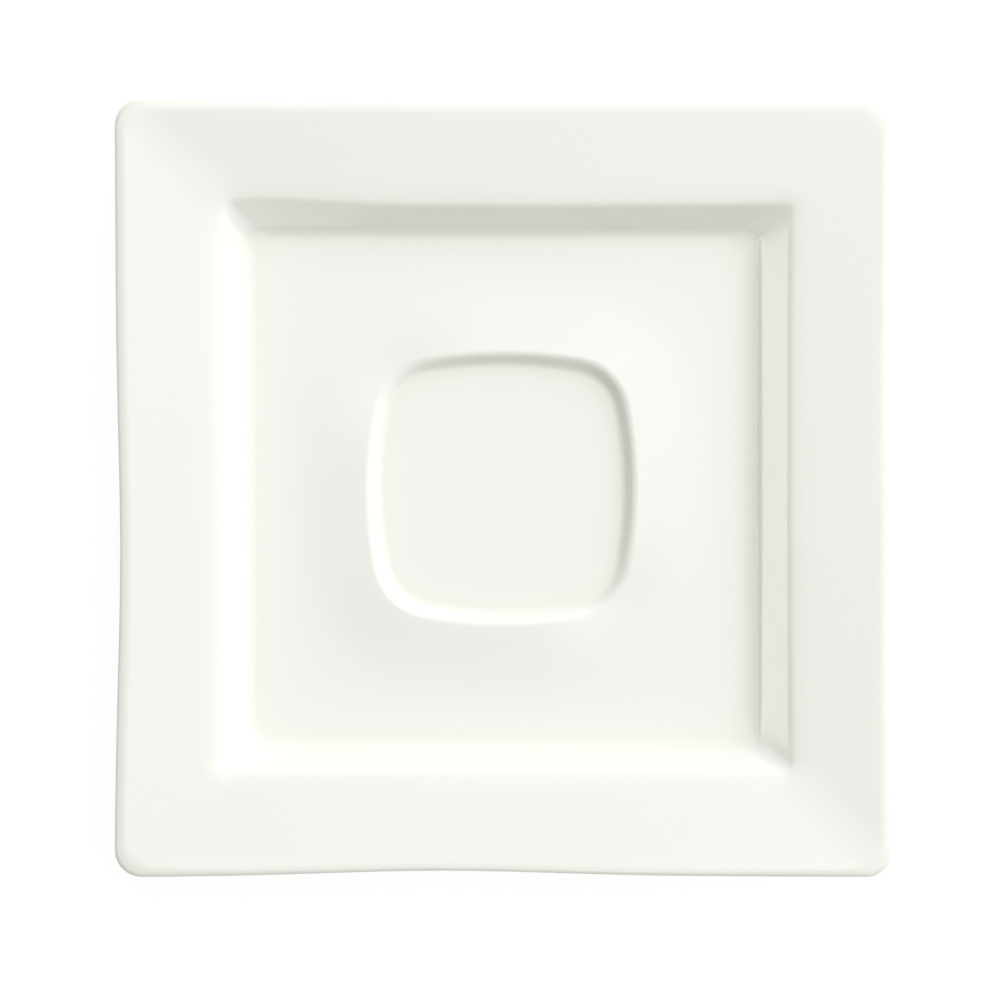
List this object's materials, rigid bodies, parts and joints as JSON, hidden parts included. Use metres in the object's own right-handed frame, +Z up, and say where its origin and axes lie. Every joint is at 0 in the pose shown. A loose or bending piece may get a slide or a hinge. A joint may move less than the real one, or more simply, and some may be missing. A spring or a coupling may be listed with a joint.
{
  "type": "square saucer",
  "caption": "Square glazed porcelain saucer: a broad sloping rim, a square well with drafted walls, and a softly squared recess that seats the foot of a cup.",
  "frame": {"origin": "on the table, under the centre of the saucer, in the plane that the foot ring stands on", "axes": "+Z up, along the saucer's fourfold axis; +X and +Y are square to its sides"},
  "size_m": [0.15, 0.15, 0.0165],
  "materials": {
    "bare_porcelain": "matte",
    "glaze": "polished"
  },
  "bodies": {
    "root": {"porcelain_body": "bare_porcelain", "glaze_coat": "glaze", "base_glaze": "glaze"}
  },
  "joints": []
}
